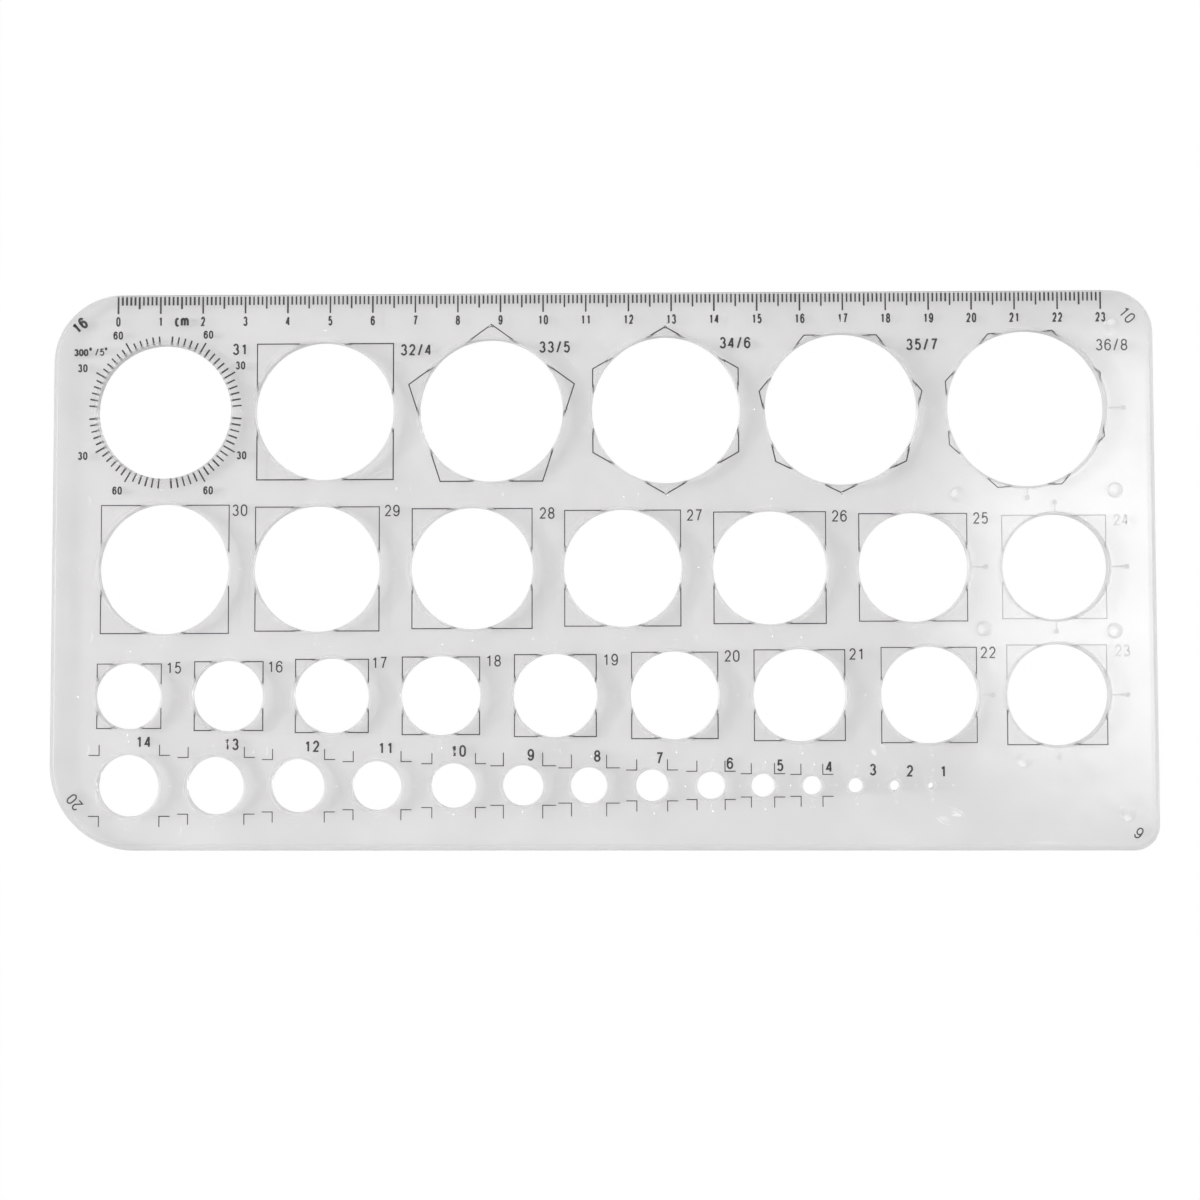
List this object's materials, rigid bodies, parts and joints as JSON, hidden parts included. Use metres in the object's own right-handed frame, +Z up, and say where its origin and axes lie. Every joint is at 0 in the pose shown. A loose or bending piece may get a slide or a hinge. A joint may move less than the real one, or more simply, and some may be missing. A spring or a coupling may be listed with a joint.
{
  "type": "drawing template",
  "caption": "Clear plastic drawing template with round holes in graded sizes, printed polygon frames, an angle ring and a centimetre ruler along one edge.",
  "frame": {"origin": "centre of the underside's bounding box, on the surface that the template rests on", "axes": "+Z up out of the face that is read, +X along the plate in the direction that the ruler counts, +Y towards the ruler edge"},
  "size_m": [0.257, 0.13, 0.002],
  "materials": {
    "clear_plastic": "clear moulded polystyrene, glossy on both faces",
    "black_ink": "flat black printing ink"
  },
  "bodies": {
    "root": {"template_plate": "clear_plastic", "ruler_mark_00_cm": "black_ink", "ruler_mark_01_cm": "black_ink", "ruler_mark_02_cm": "black_ink", "ruler_mark_03_cm": "black_ink", "ruler_mark_04_cm": "black_ink", "ruler_mark_05_cm": "black_ink", "ruler_mark_06_cm": "black_ink", "ruler_mark_07_cm": "black_ink", "ruler_mark_08_cm": "black_ink", "ruler_mark_09_cm": "black_ink", "ruler_mark_10_cm": "black_ink", "ruler_mark_11_cm": "black_ink", "ruler_mark_12_cm": "black_ink", "ruler_mark_13_cm": "black_ink", "ruler_mark_14_cm": "black_ink", "ruler_mark_15_cm": "black_ink", "ruler_mark_16_cm": "black_ink", "ruler_mark_17_cm": "black_ink", "ruler_mark_18_cm": "black_ink", "ruler_mark_19_cm": "black_ink", "ruler_mark_20_cm": "black_ink", "ruler_mark_21_cm": "black_ink", "ruler_mark_22_cm": "black_ink", "ruler_mark_23_cm": "black_ink", "square_32_corner_1": "black_ink", "square_32_corner_2": "black_ink", "square_32_corner_3": "black_ink", "square_32_corner_4": "black_ink", "pentagon_33_corner_1": "black_ink", "pentagon_33_corner_2": "black_ink", "pentagon_33_corner_3": "black_ink", "pentagon_33_corner_4": "black_ink", "pentagon_33_corner_5": "black_ink", "hexagon_34_corner_1": "black_ink", "hexagon_34_corner_2": "black_ink", "hexagon_34_corner_3": "black_ink", "hexagon_34_corner_4": "black_ink", "hexagon_34_corner_5": "black_ink", "hexagon_34_corner_6": "black_ink", "heptagon_35_corner_1": "black_ink", "heptagon_35_corner_2": "black_ink", "heptagon_35_corner_3": "black_ink", "heptagon_35_corner_4": "black_ink", "heptagon_35_corner_5": "black_ink", "heptagon_35_corner_6": "black_ink", "heptagon_35_corner_7": "black_ink", "octagon_36_corner_1": "black_ink", "octagon_36_corner_2": "black_ink", "octagon_36_corner_3": "black_ink", "octagon_36_corner_4": "black_ink", "octagon_36_corner_5": "black_ink", "octagon_36_corner_6": "black_ink", "octagon_36_corner_7": "black_ink", "octagon_36_corner_8": "black_ink"}
  },
  "joints": []
}
